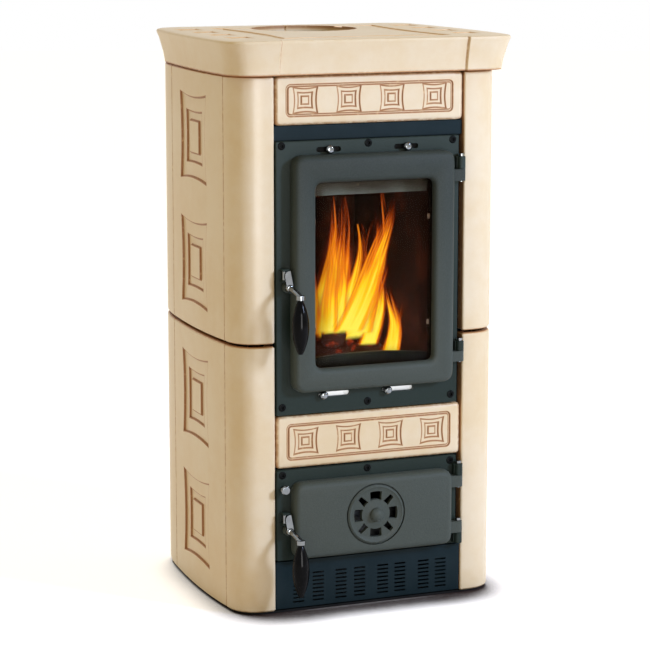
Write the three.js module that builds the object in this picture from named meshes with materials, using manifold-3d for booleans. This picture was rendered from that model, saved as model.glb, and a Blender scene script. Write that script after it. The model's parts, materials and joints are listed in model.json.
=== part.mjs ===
// A tiled wood stove: cream ceramic cladding round a steel and cast iron firebox.
// Millimetres, +Z up, the doors face -Y, and the floor is z = 0.

import * as THREE from 'three';
import { mergeVertices } from 'three/addons/utils/BufferGeometryUtils.js';
import Module from 'manifold-3d';

const wasm = await Module();
wasm.setup();

// ---------------------------------------------------------------------------
// Driving dimensions
// ---------------------------------------------------------------------------

const HEIGHT = 900;
const GAP = 0.4;

// ceramic cladding, seen in plan
const OPENING_HALF = 159; // centre line to a column's inner edge
const JOINT_X = 224; // centre line to the joint between column and side tile
const COLUMN_FRONT_Y = -188;
const FRONT_JOINT_Y = -136;
const REAR_JOINT_Y = 113;
const REAR_END_X = 207;
const REAR_END_Y = 198;
const SIDE_BOW = 12;
const TILE_WALL = 12;
const TILE_JOINT = 1;
const LOWER_TILE_Z = [3.4, 428];
const UPPER_TILE_Z = [432, 845];
const TILE_EDGE = 2.5;

// relief squares with hollow sides: two steps down, and a core that stays one step up
const GROOVE_DEPTH = 1.8;
const SIDE_MOTIF_STEPS = [3.2, 6];
const SMALL_MOTIF_STEPS = [1.4, 2.8];
const SIDE_MOTIF = { half: [64, 69], core: [23, 26], sag: 0.09 };
const SIDE_MOTIF_Y = -5;
const SIDE_MOTIF_Z = { lower: [119, 319], upper: [538.5, 738.5] };
const SMALL_MOTIF = { half: [20, 20], core: [6, 6], sag: 0.12 };
const FRONT_MOTIF_PITCH = 72;

// ceramic top
const TOP_BOTTOM_Z = 846;
const TOP_HALF_WIDTH = 244;
const TOP_FRONT_Y = -214;
const TOP_REAR_Y = 212;
const TOP_FLARE = 11;
const TOP_WALL = 15;
const CORNER_BLOCK_X = 155;
const CORNER_STEP = 4;
const FLUE = { x: 0, y: 98, holeRadius: 86, spigotRadius: 74, bore: 69.5, top: 882 };

// front pieces, one behind the other
const FRONT_TILE_Y = [-187, -173];
const FRONT_TILE_HALF = 157;
const UPPER_FRONT_TILE_Z = [769, 845];
const LOWER_FRONT_TILE_Z = [232, 316];
const FRAME_Y = [-190, -180];
const FRAME_X = [-158, 149];
const UPPER_FRAME_Z = [318, 745];
const LOWER_FRAME_Z = [85, 231];
const FIRE_MOUTH = { half: 113, z: [378, 702] };
const ASH_MOUTH = { half: 111, z: [101, 201] };
const FRONT_SHEET_Y = [-172, -170];
const LOUVRE_Z = [6, 83];

// doors
const DOOR_HALF = 135;
const DOOR_FACE_Y = -212;
const DOOR_BACK_Y = -190.6;
const DOOR_EDGE = 9;
const FIRE_DOOR_Z = [355, 724];
const ASH_DOOR_Z = [89, 212];
const WINDOW = { half: 99, z: [392, 681], radius: 12 };
const HINGE = { x: 150, y: -198, pin: 2.5, knuckle: 6.5 };

// latches: the upper one, and the drop to the lower one
const LATCH = { x: -142, z: 521 };
const LATCH_DROP = 385;
const GRIP = { y: -237, shift: 6, top: 507, length: 84, radius: 13.5 };

// air controls
const AIR_SLOT_HEIGHT = 8;
const UPPER_AIR = { z: 731, slots: [-71, 59], half: 20.5, knobs: [-71, 59] };
const LOWER_AIR = { z: 347, slots: [-61.5, 47], half: 27, knobs: [-81, 27.5] };
const KNOB_RADIUS = 6.5;
const DISC = { x: 1, z: 152, radius: 48, hub: 17, dome: 11 };

// firebox
const FIREBOX = { half: 139, y: [-169, 174], z: [331, 822], wall: 3 };
const ASH_BOX = { half: 121, y: [-169, 130], z: [98, 330], wall: 2 };
const BRICK = 25;
const BRICK_TOP = 690;
const GRATE = { half: 80, y: [-115, 65], top: 346 };
const LOG = { bed: GRATE.top + GAP, radius: 29, top: 402.9, topRadius: 24 };
const ROD = { x: -148, z: 202, armY: -20, radius: 3 };

// ---------------------------------------------------------------------------
// Finishes
// ---------------------------------------------------------------------------

function finish(color, roughness, metalness) {
  return new THREE.MeshStandardMaterial({ color, roughness, metalness, flatShading: true });
}

const CREAM_GLAZE = finish(0xecd6a8, 0.3, 0);
const CAST_IRON = finish(0x4c5656, 0.55, 0.4);
const BLUE_BLACK_PAINT = finish(0x26363c, 0.45, 0.3);
const CHROME = finish(0xd8dadc, 0.15, 1);
const BLACK_GRIP = finish(0x0b0d0e, 0.2, 0);
const GALVANISED = finish(0x9aa0a2, 0.45, 0.8);
const BLACK_STEEL = finish(0x202324, 0.6, 0.5);
const FIREBRICK = finish(0xc9b48c, 0.95, 0);
const GLASS = finish(0x2a1a14, 0.05, 0);
const ROPE = finish(0x6f6a60, 1, 0);
const CHARRED_WOOD = finish(0x33251d, 0.9, 0);

// ---------------------------------------------------------------------------
// Solids
// ---------------------------------------------------------------------------

function toSolid(geometry) {
  const bare = geometry.clone();
  bare.deleteAttribute('normal');
  bare.deleteAttribute('uv');
  const welded = mergeVertices(bare, 1e-4);
  const mesh = new wasm.Mesh({
    numProp: 3,
    vertProperties: new Float32Array(welded.attributes.position.array),
    triVerts: new Uint32Array(welded.index.array),
  });
  return new wasm.Manifold(mesh);
}

function toGeometry(solid) {
  const mesh = solid.asOriginal().simplify(0.02).getMesh();
  const geometry = new THREE.BufferGeometry();
  const points = new THREE.BufferAttribute(new Float32Array(mesh.vertProperties), 3);
  geometry.setAttribute('position', points);
  geometry.setIndex(new THREE.BufferAttribute(new Uint32Array(mesh.triVerts), 1));
  geometry.computeVertexNormals();
  return geometry;
}

function block(x, y, z) {
  const geometry = new THREE.BoxGeometry(x[1] - x[0], y[1] - y[0], z[1] - z[0]);
  geometry.translate((x[0] + x[1]) / 2, (y[0] + y[1]) / 2, (z[0] + z[1]) / 2);
  return toSolid(geometry);
}

function extrude(shape, depth, edge = 0, curveSegments = 6) {
  return new THREE.ExtrudeGeometry(shape, {
    depth: depth - 2 * edge,
    bevelEnabled: edge > 0,
    bevelSize: edge,
    bevelThickness: edge,
    bevelOffset: -edge,
    bevelSegments: edge > 4 ? 3 : 1,
    curveSegments,
  }).translate(0, 0, edge);
}

// a shape drawn in plan, raised from z[0] to z[1]
function prismZ(shape, z, edge = 0, curveSegments = 6) {
  return toSolid(extrude(shape, z[1] - z[0], edge, curveSegments).translate(0, 0, z[0]));
}

// a shape drawn in X and Z, spanning y[0] to y[1]
function prismY(shape, y, edge = 0, curveSegments = 6) {
  const geometry = extrude(shape, y[1] - y[0], edge, curveSegments);
  geometry.rotateX(Math.PI / 2);
  return toSolid(geometry.translate(0, y[1], 0));
}

// a shape drawn in Y and Z, spanning x[0] to x[1]
function prismX(shape, x, curveSegments = 6) {
  const geometry = extrude(shape, x[1] - x[0], 0, curveSegments);
  const turn = new THREE.Matrix4().makeBasis(
    new THREE.Vector3(0, 1, 0),
    new THREE.Vector3(0, 0, 1),
    new THREE.Vector3(1, 0, 0),
  );
  geometry.applyMatrix4(turn);
  return toSolid(geometry.translate(x[0], 0, 0));
}

// a front piece whose bevelled edge shows on its -Y side only
function frontPlate(shape, y, edge, curveSegments = 6) {
  const whole = prismY(shape, [y[0], y[1] + edge], edge, curveSegments);
  return whole.trimByPlane([0, -1, 0], -y[1]);
}

function rodZ(x, y, z, radius, sides = 16) {
  const geometry = new THREE.CylinderGeometry(radius, radius, z[1] - z[0], sides);
  geometry.rotateX(Math.PI / 2);
  return toSolid(geometry.translate(x, y, (z[0] + z[1]) / 2));
}

function rodY(x, z, y, radius, sides = 16) {
  const geometry = new THREE.CylinderGeometry(radius, radius, y[1] - y[0], sides);
  return toSolid(geometry.translate(x, (y[0] + y[1]) / 2, z));
}

// a profile of [radius, height] pairs, turned about an axis along -Y at x, z
function turnedY(profile, x, z, y, sides = 20) {
  const points = profile.map(([radius, height]) => new THREE.Vector2(radius, height));
  const geometry = new THREE.LatheGeometry(points, sides);
  geometry.rotateX(-Math.PI);
  return toSolid(geometry.translate(x, y, z));
}

function union(solids) {
  return solids.reduce((sum, solid) => sum.add(solid));
}

function cut(solid, tools) {
  return tools.reduce((rest, tool) => rest.subtract(tool), solid);
}

// ---------------------------------------------------------------------------
// Outlines
// ---------------------------------------------------------------------------

function rectangle(x, z) {
  const shape = new THREE.Shape();
  shape.moveTo(x[0], z[0]);
  shape.lineTo(x[1], z[0]);
  shape.lineTo(x[1], z[1]);
  shape.lineTo(x[0], z[1]);
  shape.closePath();
  return shape;
}

function rounded(x, z, radius) {
  const shape = new THREE.Shape();
  shape.moveTo(x[0] + radius, z[0]);
  shape.lineTo(x[1] - radius, z[0]);
  shape.quadraticCurveTo(x[1], z[0], x[1], z[0] + radius);
  shape.lineTo(x[1], z[1] - radius);
  shape.quadraticCurveTo(x[1], z[1], x[1] - radius, z[1]);
  shape.lineTo(x[0] + radius, z[1]);
  shape.quadraticCurveTo(x[0], z[1], x[0], z[1] - radius);
  shape.lineTo(x[0], z[0] + radius);
  shape.quadraticCurveTo(x[0], z[0], x[0] + radius, z[0]);
  return shape;
}

function circle(x, z, radius) {
  const shape = new THREE.Shape();
  shape.absarc(x, z, radius, 0, 2 * Math.PI, false);
  return shape;
}

function slot(x, z, half, height) {
  const radius = height / 2;
  const shape = new THREE.Shape();
  shape.absarc(x + half - radius, z, radius, -Math.PI / 2, Math.PI / 2, false);
  shape.absarc(x - half + radius, z, radius, Math.PI / 2, 1.5 * Math.PI, false);
  shape.closePath();
  return shape;
}

// a square whose four sides curve inwards
function hollowSided(x, z, halfX, halfZ, sag) {
  const shape = new THREE.Shape();
  shape.moveTo(x - halfX, z - halfZ);
  shape.quadraticCurveTo(x, z - halfZ + 2 * sag, x + halfX, z - halfZ);
  shape.quadraticCurveTo(x + halfX - 2 * sag, z, x + halfX, z + halfZ);
  shape.quadraticCurveTo(x, z + halfZ - 2 * sag, x - halfX, z + halfZ);
  shape.quadraticCurveTo(x - halfX + 2 * sag, z, x - halfX, z - halfZ);
  return shape;
}

// the relief motif: the first step's outline, and the second's with the core left in it
function motifOutlines(x, z, { half, core, sag }) {
  const outer = hollowSided(x, z, half[0], half[1], half[0] * sag);
  const inner = hollowSided(x, z, half[0] * 0.6, half[1] * 0.6, half[0] * sag / 3);
  inner.holes.push(rectangle([x - core[0], x + core[0]], [z - core[1], z + core[1]]));
  return [outer, inner];
}

// ---------------------------------------------------------------------------
// Ceramic cladding
// ---------------------------------------------------------------------------

function columnShape(side) {
  const front = COLUMN_FRONT_Y;
  const inner = COLUMN_FRONT_Y + TILE_WALL;
  const jointInner = JOINT_X - TILE_WALL;
  const jointY = FRONT_JOINT_Y - TILE_JOINT / 2;
  const shape = new THREE.Shape();
  shape.moveTo(side * OPENING_HALF, front + 24);
  shape.lineTo(side * OPENING_HALF, front + 5);
  shape.quadraticCurveTo(side * OPENING_HALF, front, side * (OPENING_HALF + 5), front);
  shape.lineTo(side * 176, front);
  shape.bezierCurveTo(side * 206, front, side * JOINT_X, -166, side * JOINT_X, jointY);
  shape.lineTo(side * jointInner, jointY);
  shape.bezierCurveTo(side * jointInner, -160, side * 200, inner, side * 176, inner);
  shape.lineTo(side * (OPENING_HALF + TILE_WALL), inner);
  shape.lineTo(side * (OPENING_HALF + TILE_WALL), front + 24);
  shape.closePath();
  return shape;
}

// a curved strip of tile in plan, from a front joint to a rear one
function bowedShape(side, start, bend, end, outer, inner) {
  const shape = new THREE.Shape();
  shape.moveTo(side * (start[0] + outer), start[1]);
  shape.quadraticCurveTo(side * (bend[0] + outer), bend[1], side * (end[0] + outer), end[1]);
  shape.lineTo(side * (end[0] + inner), end[1]);
  shape.quadraticCurveTo(side * (bend[0] + inner), bend[1], side * (start[0] + inner), start[1]);
  shape.closePath();
  return shape;
}

function sideShape(side, outer, inner) {
  const start = [JOINT_X, FRONT_JOINT_Y + TILE_JOINT / 2];
  const end = [JOINT_X, REAR_JOINT_Y - TILE_JOINT / 2];
  return bowedShape(side, start, [JOINT_X + SIDE_BOW, -30], end, outer, inner);
}

function rearShape(side) {
  const start = [JOINT_X, REAR_JOINT_Y + TILE_JOINT / 2];
  const end = [REAR_END_X, REAR_END_Y];
  return bowedShape(side, start, [JOINT_X - 3, 160], end, 0, -TILE_WALL);
}

function sideTile(side, z, centres) {
  const tile = prismZ(sideShape(side, 0, -TILE_WALL), z, TILE_EDGE, 6);
  const skins = SIDE_MOTIF_STEPS.map((depth) => prismZ(sideShape(side, 20, -depth), z, 0, 6));
  const reach = side > 0 ? [JOINT_X - 20, JOINT_X + 40] : [-JOINT_X - 40, -JOINT_X + 20];
  const reliefs = centres.flatMap((height) => (
    motifOutlines(SIDE_MOTIF_Y, height, SIDE_MOTIF).map((outline, step) => (
      prismX(outline, reach, 4).intersect(skins[step])
    ))
  ));
  return cut(tile, reliefs);
}

function frontTile(z) {
  const half = FRONT_TILE_HALF;
  const tile = frontPlate(rounded([-half, half], z, 8), FRONT_TILE_Y, 6, 4);
  const face = FRONT_TILE_Y[0];
  const border = rounded([-half + 18, half - 18], [z[0] + 14, z[1] - 14], 6);
  border.holes.push(rounded([-half + 20.5, half - 20.5], [z[0] + 16.5, z[1] - 16.5], 5));
  const middle = (z[0] + z[1]) / 2;
  const places = [-1.5, -0.5, 0.5, 1.5].map((step) => step * FRONT_MOTIF_PITCH);
  const motifs = places.flatMap((x) => (
    motifOutlines(x, middle, SMALL_MOTIF).map((outline, step) => (
      prismY(outline, [face - 1, face + SMALL_MOTIF_STEPS[step]], 0, 3)
    ))
  ));
  return cut(tile, [prismY(border, [face - 1, face + GROOVE_DEPTH], 0, 3), ...motifs]);
}

// ---------------------------------------------------------------------------
// Ceramic top
// ---------------------------------------------------------------------------

// half the outline in plan, from the middle of the front to the middle of the rear
function topOutline(inset) {
  const half = TOP_HALF_WIDTH - inset;
  const front = TOP_FRONT_Y + inset;
  const rear = TOP_REAR_Y - inset;
  const rearHalf = half - 18;
  const right = new THREE.Path();
  right.moveTo(CORNER_BLOCK_X, front + CORNER_STEP);
  right.lineTo(CORNER_BLOCK_X + 2, front);
  right.lineTo(half - 46, front);
  right.bezierCurveTo(half - 17, front, half - 4, front + 15, half - 3, front + 46);
  right.quadraticCurveTo(half + 4, -20, rearHalf + 4, rear - 46);
  right.quadraticCurveTo(rearHalf, rear, rearHalf - 44, rear);
  const points = right.getPoints(5);
  const left = points.map((point) => new THREE.Vector2(-point.x, point.y)).reverse();
  return [...points, ...left];
}

// one closed skin through outlines that all have the same number of points
function loft(levels) {
  const count = levels[0].points.length;
  const position = levels.flatMap(({ points, z }) => points.flatMap(({ x, y }) => [x, y, z]));
  const index = [];
  for (let level = 0; level + 1 < levels.length; level += 1) {
    for (let i = 0; i < count; i += 1) {
      const a = level * count + i;
      const b = level * count + ((i + 1) % count);
      index.push(a, b, b + count, a, b + count, a + count);
    }
  }
  const faces = THREE.ShapeUtils.triangulateShape(levels[0].points, []);
  const last = (levels.length - 1) * count;
  faces.forEach(([a, b, c]) => index.push(a, c, b, last + a, last + b, last + c));
  const geometry = new THREE.BufferGeometry();
  geometry.setAttribute('position', new THREE.Float32BufferAttribute(position, 3));
  geometry.setIndex(index);
  return toSolid(geometry);
}

function ceramicTop() {
  const rim = HEIGHT - TOP_BOTTOM_Z;
  const levels = [
    { inset: TOP_FLARE, height: 0 },
    { inset: TOP_FLARE * 0.8, height: rim * 0.3 },
    { inset: TOP_FLARE * 0.3, height: rim * 0.75 },
    { inset: 0, height: rim - 4 },
    { inset: 1, height: rim - 1 },
    { inset: 4, height: rim },
  ].map(({ inset, height }) => ({ points: topOutline(inset), z: TOP_BOTTOM_Z + height }));
  const hollow = [
    { points: topOutline(TOP_FLARE + TOP_WALL), z: TOP_BOTTOM_Z - 1 },
    { points: topOutline(TOP_FLARE + TOP_WALL), z: HEIGHT - TOP_WALL },
  ];
  const collar = rodZ(FLUE.x, FLUE.y, [TOP_BOTTOM_Z, HEIGHT - 2], FLUE.holeRadius + 12, 32);
  const hole = rodZ(FLUE.x, FLUE.y, [TOP_BOTTOM_Z - 2, HEIGHT + 1], FLUE.holeRadius, 32);
  const joint = block([-1, 1], [FLUE.y, TOP_REAR_Y + 1], [TOP_BOTTOM_Z - 1, HEIGHT + 1]);
  const hang = block([-1, 1], [FLUE.y, TOP_REAR_Y - 4], [TOP_BOTTOM_Z - 1, HEIGHT - 8]);
  const shell = loft(levels).subtract(loft(hollow)).add(collar);
  const panel = hollowSided(0, -8, 146, 160, 11);
  panel.holes.push(hollowSided(0, -8, 128, 142, 10));
  const places = [-118, -37, 44, 125];
  const motifs = places.flatMap((y) => [-190, 190].flatMap((x) => (
    motifOutlines(x, y, SMALL_MOTIF).map((outline, step) => (
      prismZ(outline, [HEIGHT - SMALL_MOTIF_STEPS[step], HEIGHT + 1], 0, 3)
    ))
  )));
  const groove = prismZ(panel, [HEIGHT - GROOVE_DEPTH, HEIGHT + 1], 0, 3);
  const body = cut(shell, [hole, groove, ...motifs]);
  return cut(body, [joint.subtract(hang)]);
}

// ---------------------------------------------------------------------------
// Steel body
// ---------------------------------------------------------------------------

// the plate that the tiles stand on, and the turned-up rim inside them
function baseTray() {
  const plate = prismZ(rounded([-218, 218], [-183, 194], 50), [0, 3]);
  const rim = prismZ(rounded([-200, 200], [-163, 190], 20), [1, 11]);
  const inside = prismZ(rounded([-198, 198], [-161, 188], 18), [3, 12]);
  return plate.add(rim).subtract(inside);
}

function frontSheet() {
  const sheet = block([-158, 158], FRONT_SHEET_Y, [12, 844]);
  const flanges = [-1, 1].map((side) => (
    block(side > 0 ? [156, 158] : [-158, -156], [FRONT_SHEET_Y[0], -150], [12, 844])
  ));
  const through = [FRONT_SHEET_Y[0] - 5, FRONT_SHEET_Y[1] + 5];
  const fire = block([-116, 116], through, [374, 710]);
  const ash = block([-113, 113], through, [99, 203]);
  const air = block([-120, 120], through, [16, 80]);
  const rod = rodY(ROD.x, ROD.z, through, ROD.radius + 1);
  return cut(union([sheet, ...flanges]), [fire, ash, air, rod]);
}

// the strip that shows above the door frame, folded down from the front sheet
function frontStrip() {
  const face = block([-158, 158], [-181, -179], [746, 768]);
  const fold = block([-158, 158], [-181, -172.4], [766, 768]);
  return face.add(fold);
}

function sideSheet(side) {
  const wall = side > 0 ? [190, 192] : [-192, -190];
  const flange = side > 0 ? [172, 192] : [-192, -172];
  const sheet = block(wall, [-150, 188], [12, 836]);
  return sheet.add(block(flange, [186, 188], [12, 836]));
}

function backPanel() {
  const panel = block([-190, 190], [189, 191], [12, 843]);
  const rows = [60, 74, 88, 780, 794, 808];
  const slots = rows.flatMap((low) => (
    [-120, -60, 0, 60, 120].map((x) => block([x - 22, x + 22], [185, 195], [low, low + 6]))
  ));
  return cut(panel, slots);
}

function topSheet() {
  const sheet = block([-190, 190], [-149, 188], [838, 840]);
  return sheet.subtract(rodZ(FLUE.x, FLUE.y, [830, 850], 79, 32));
}

function louvrePanel() {
  const panel = block([-OPENING_HALF + 1, OPENING_HALF - 1], [-186, -184.5], LOUVRE_Z);
  const hem = block([-158, 158], [-189.5, -172.4], [81.5, 83]);
  const columns = [-120, -87, -48, -16, 24, 54, 95, 125];
  const rows = [0, 1, 2, 3, 4, 5, 6, 7].map((row) => 15 + row * 6.4);
  const slots = columns.flatMap((x) => rows.map((z) => (
    block([x - 9.5, x + 9.5], [-190, -180], [z - 1.4, z + 1.4])
  )));
  return cut(panel.add(hem), [wasm.Manifold.compose(slots)]);
}

// ---------------------------------------------------------------------------
// Cast frames with their latch catches and hinge knuckles
// ---------------------------------------------------------------------------

function knuckle(z) {
  const arm = block([HINGE.x - 8, HINGE.x + 2], [HINGE.y, FRAME_Y[1]], z);
  const eye = rodZ(HINGE.x, HINGE.y, z, HINGE.knuckle);
  const bore = rodZ(HINGE.x, HINGE.y, [z[0] - 1, z[1] + 1], HINGE.pin + GAP);
  return { solid: arm.add(eye), bore };
}

function catchEars(drop) {
  const z = LATCH.z - drop;
  const upper = block([-152, -141], [-203, FRAME_Y[0] + 1], [z + 26, z + 29]);
  const lower = block([-152, -141], [-203, FRAME_Y[0] + 1], [z + 9, z + 12]);
  return [upper, lower];
}

function screwSeats(places) {
  return places.flatMap(([x, z]) => [
    rodY(x, z, [FRAME_Y[0] - 1, FRAME_Y[0] + 2.5], 4.6, 12),
  ]);
}

function upperFrame() {
  const plate = frontPlate(rounded(FRAME_X, UPPER_FRAME_Z, 3), FRAME_Y, 1);
  const mouth = FIRE_MOUTH;
  const opening = prismY(rounded([-mouth.half, mouth.half], mouth.z, 10), [-200, -170]);
  const knuckles = [knuckle([693, 712]), knuckle([403, 418])];
  const slots = [UPPER_AIR, LOWER_AIR].flatMap((air) => air.slots.map((x) => (
    prismY(slot(x, air.z, air.half, AIR_SLOT_HEIGHT), [-200, -170], 0, 5)
  )));
  const pockets = [UPPER_AIR, LOWER_AIR].map((air) => (
    block([-128, 118], [FRAME_Y[1] - 3.6, FRAME_Y[1] + 1], [air.z - 7, air.z + 7])
  ));
  const seats = screwSeats([-148.5, -5, 138.5].flatMap((x) => [[x, 738.5], [x, 331]]));
  const solid = union([plate, ...knuckles.map(({ solid: part }) => part), ...catchEars(0)]);
  const bores = knuckles.map(({ bore }) => bore);
  return cut(solid, [opening, ...slots, ...pockets, ...seats, ...bores]);
}

function lowerFrame() {
  const plate = frontPlate(rounded(FRAME_X, LOWER_FRAME_Z, 3), FRAME_Y, 1);
  const mouth = ASH_MOUTH;
  const opening = prismY(rounded([-mouth.half, mouth.half], mouth.z, 8), [-200, -170]);
  const knuckles = [knuckle([200, 218]), knuckle([88, 105])];
  const seats = screwSeats([[-148.5, 223], [-5, 223], [138.5, 223]]);
  const rod = rodY(ROD.x, ROD.z, [-200, -170], ROD.radius + 1);
  const ears = catchEars(LATCH_DROP);
  const solid = union([plate, ...knuckles.map(({ solid: part }) => part), ...ears]);
  return cut(solid, [opening, ...seats, rod, ...knuckles.map(({ bore }) => bore)]);
}

function hingePin(z) {
  const shank = rodZ(HINGE.x, HINGE.y, z, HINGE.pin, 12);
  return shank.add(rodZ(HINGE.x, HINGE.y, [z[1], z[1] + 4], HINGE.pin + 2, 12));
}

function catchRoller(drop) {
  const z = LATCH.z - drop;
  return rodZ(-147, -198, [z + 12.4, z + 25.6], 4, 16);
}

// ---------------------------------------------------------------------------
// Doors
// ---------------------------------------------------------------------------

function doorLug(z) {
  const arm = block([DOOR_HALF - 14, HINGE.x + 1], [-204, -193], z);
  const eye = rodZ(HINGE.x, HINGE.y, z, HINGE.knuckle);
  return arm.add(eye);
}

function lugBores(z) {
  return rodZ(HINGE.x, HINGE.y, [z[0] - 1, z[1] + 1], HINGE.pin + GAP);
}

function latchLug(z) {
  const eye = rodY(LATCH.x, z, [-203, -193], 8);
  return eye.add(block([LATCH.x, -122], [-203, -193], [z - 8, z + 8]));
}

function latchBore(z) {
  return rodY(LATCH.x, z, [-210, -190], 3.2 + GAP);
}

function ropeGroove(half, z, width) {
  const ring = rounded([-half, half], z, 14);
  const inside = rounded([-half + width, half - width], [z[0] + width, z[1] - width], 10);
  ring.holes.push(inside);
  return ring;
}

function fireDoor() {
  const face = [DOOR_FACE_Y, DOOR_BACK_Y];
  const outline = rounded([-DOOR_HALF, DOOR_HALF], FIRE_DOOR_Z, 20);
  outline.holes.push(rounded([-WINDOW.half, WINDOW.half], WINDOW.z, WINDOW.radius));
  const casting = frontPlate(outline, face, DOOR_EDGE);
  const glassBed = block([-107, 107], [-201, -189], [WINDOW.z[0] - 8, WINDOW.z[1] + 8]);
  const grooveY = [DOOR_BACK_Y - 5, DOOR_BACK_Y + 1];
  const groove = prismY(ropeGroove(125, [366, 713], 9), grooveY, 0, 4);
  const lugs = [[674, 692.4], [386, 402.4]];
  const solid = union([casting, latchLug(LATCH.z), ...lugs.map(doorLug)]);
  return cut(solid, [glassBed, groove, latchBore(LATCH.z), ...lugs.map(lugBores)]);
}

function fireDoorRope() {
  const y = [DOOR_BACK_Y - 4.6, DOOR_BACK_Y + 0.4];
  return prismY(ropeGroove(124.6, [366.4, 712.6], 8.2), y, 0, 4);
}

function doorGlass() {
  const z = [WINDOW.z[0] - 7.4, WINDOW.z[1] + 7.4];
  return block([-106.4, 106.4], [-200.6, -196.6], z);
}

// pressed steel frame that holds the glass against the casting
function glassRetainer() {
  const z = [WINDOW.z[0] - 7.4, WINDOW.z[1] + 7.4];
  const outline = rectangle([-106.4, 106.4], z);
  outline.holes.push(rounded([-98, 98], [z[0] + 9, z[1] - 9], 8));
  return prismY(outline, [-196.2, -194.2], 0, 3);
}

function ashDoor() {
  const face = [DOOR_FACE_Y, DOOR_BACK_Y];
  const casting = frontPlate(rounded([-DOOR_HALF, DOOR_HALF], ASH_DOOR_Z, 18), face, DOOR_EDGE);
  const dish = prismY(rounded([-112, 112], [102, 199], 10), [-204, -189]);
  const seat = rodY(DISC.x, DISC.z, [DOOR_FACE_Y - 1, DOOR_FACE_Y + 4.4], DISC.radius + 2, 30);
  const axle = rodY(DISC.x, DISC.z, [-220, -180], 3 + GAP, 16);
  const grooveY = [DOOR_BACK_Y - 5, DOOR_BACK_Y + 1];
  const groove = prismY(ropeGroove(125, [94, 207], 8), grooveY, 0, 4);
  const boss = rodY(DISC.x, DISC.z, [-207, -196], 9, 16);
  const lugs = [[181, 199.4], [105.6, 124]];
  const latchZ = LATCH.z - LATCH_DROP;
  const hollow = cut(casting, [dish, seat]);
  const solid = union([hollow, boss, latchLug(latchZ), ...lugs.map(doorLug)]);
  return cut(solid, [...airPorts([-212, -190]), axle, groove, latchBore(latchZ),
    ...lugs.map(lugBores)]);
}

function ashDoorRope() {
  const y = [DOOR_BACK_Y - 4.6, DOOR_BACK_Y + 0.4];
  return prismY(ropeGroove(124.6, [94.4, 206.6], 7.2), y, 0, 4);
}

// ---------------------------------------------------------------------------
// Door handles
// ---------------------------------------------------------------------------

// flat lever with its hooked nose beside the catch roller, and the stem to the grip
function handleLever(drop) {
  const { x, z } = LATCH;
  const nose = new THREE.Shape();
  nose.moveTo(x - 4, z - 3);
  nose.quadraticCurveTo(x - 6, z + 8, x - 8, z + 18);
  nose.quadraticCurveTo(x - 8, z + 28, x + 1, z + 27);
  nose.quadraticCurveTo(x + 4, z + 12, x + 6, z);
  nose.quadraticCurveTo(x + 3, z - 8, x - 4, z - 3);
  const plate = prismY(nose, [-208, -203.5], 0, 4);
  const boss = turnedY([
    [0, 0], [6.4, 0], [6.4, 4], [4.6, 7.5], [0, 9],
  ], x, z, -203.5, 16);
  const shaft = rodY(x, z, [-204, -192], 3.2);
  const path = new THREE.QuadraticBezierCurve3(
    new THREE.Vector3(x, -206, z),
    new THREE.Vector3(x + 1, -222, z),
    new THREE.Vector3(x + GRIP.shift, GRIP.y, GRIP.top + 4.8),
  );
  const round = circle(0, 0, 4.4);
  const stem = new THREE.ExtrudeGeometry(round, {
    steps: 6,
    extrudePath: path,
    bevelEnabled: false,
    curveSegments: 5,
  });
  const collar = rodZ(x + GRIP.shift, GRIP.y, [GRIP.top + GAP, GRIP.top + 7], 7);
  return union([plate, boss, shaft, toSolid(stem), collar]).translate([0, 0, -drop]);
}

function handleGrip(drop) {
  const profile = [new THREE.Vector2(0, 0)];
  const steps = 10;
  for (let i = 0; i <= steps; i += 1) {
    const t = i / steps;
    const swell = Math.sin(Math.PI * (0.06 + 0.88 * t)) ** 0.8;
    profile.push(new THREE.Vector2(GRIP.radius * swell, -GRIP.length * t));
  }
  profile.push(new THREE.Vector2(0, -GRIP.length));
  const geometry = new THREE.LatheGeometry(profile.reverse(), 16);
  geometry.rotateX(Math.PI / 2);
  return toSolid(geometry.translate(LATCH.x + GRIP.shift, GRIP.y, GRIP.top - drop));
}

// ---------------------------------------------------------------------------
// Air controls
// ---------------------------------------------------------------------------

// a strip that slides in its pocket behind the frame, with its two pull knobs
function airSlide(air, x) {
  const y = [FRAME_Y[1] - 3.2, FRAME_Y[1] - 0.6];
  const strip = block(x, y, [air.z - 6.5, air.z + 6.5]);
  const knobs = air.knobs.map((place) => turnedY([
    [0, 0], [3, 0], [3, 7.5], [KNOB_RADIUS - 1, 7.5], [KNOB_RADIUS, 9],
    [KNOB_RADIUS, 15], [KNOB_RADIUS - 2, 17.5], [0, 18.5],
  ], place, air.z, y[0] + 0.5, 14));
  return union([strip, ...knobs]);
}

function sector(inner, outer, middle, spread) {
  const shape = new THREE.Shape();
  const from = middle - spread;
  const to = middle + spread;
  shape.absarc(DISC.x, DISC.z, outer, from, to, false);
  shape.absarc(DISC.x, DISC.z, inner, to + 0.12, from - 0.12, true);
  shape.closePath();
  return shape;
}

// four wide ports and four narrow ones between them
function airPorts(y) {
  return [0, 1, 2, 3].flatMap((quarter) => {
    const wide = sector(24, 37, quarter * Math.PI / 2, 0.27);
    const narrow = sector(24, 39, (quarter + 0.5) * Math.PI / 2, 0.09);
    return [wide, narrow].map((outline) => prismY(outline, y, 0, 3));
  });
}

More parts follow.
